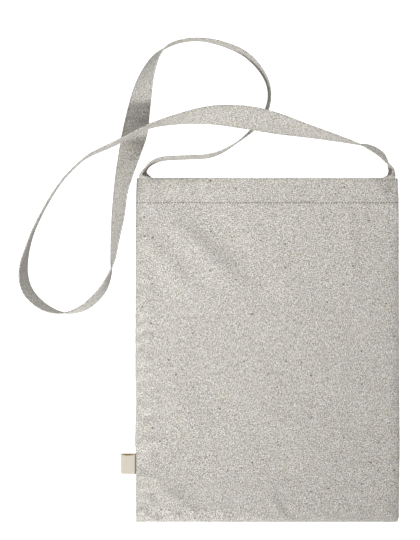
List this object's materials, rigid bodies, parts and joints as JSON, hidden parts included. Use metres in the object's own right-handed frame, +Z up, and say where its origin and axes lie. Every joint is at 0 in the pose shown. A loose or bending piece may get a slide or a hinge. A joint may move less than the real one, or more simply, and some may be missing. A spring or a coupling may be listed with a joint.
{
  "type": "shopper bag",
  "caption": "Flat open-topped cotton shopper with a hemmed mouth and one long shoulder strap sewn in at the mouth's corners, lying on its back with the strap looped above it.",
  "frame": {"origin": "on the surface the bag lies on, under the middle of the pouch", "axes": "+X to the right seen from above, +Y from the pouch's bottom towards its mouth, +Z up from the surface"},
  "size_m": [0.4784, 0.6075, 0.0519],
  "materials": {
    "front_panel": "heathered matt cotton",
    "back_panel": "heathered matt cotton",
    "strap": "heathered matt cotton, stitched along both edges",
    "side_label": "smooth woven ribbon"
  },
  "bodies": {
    "root": {"front_panel": "front_panel", "back_panel": "back_panel", "strap": "strap", "side_label": "side_label"}
  },
  "joints": []
}
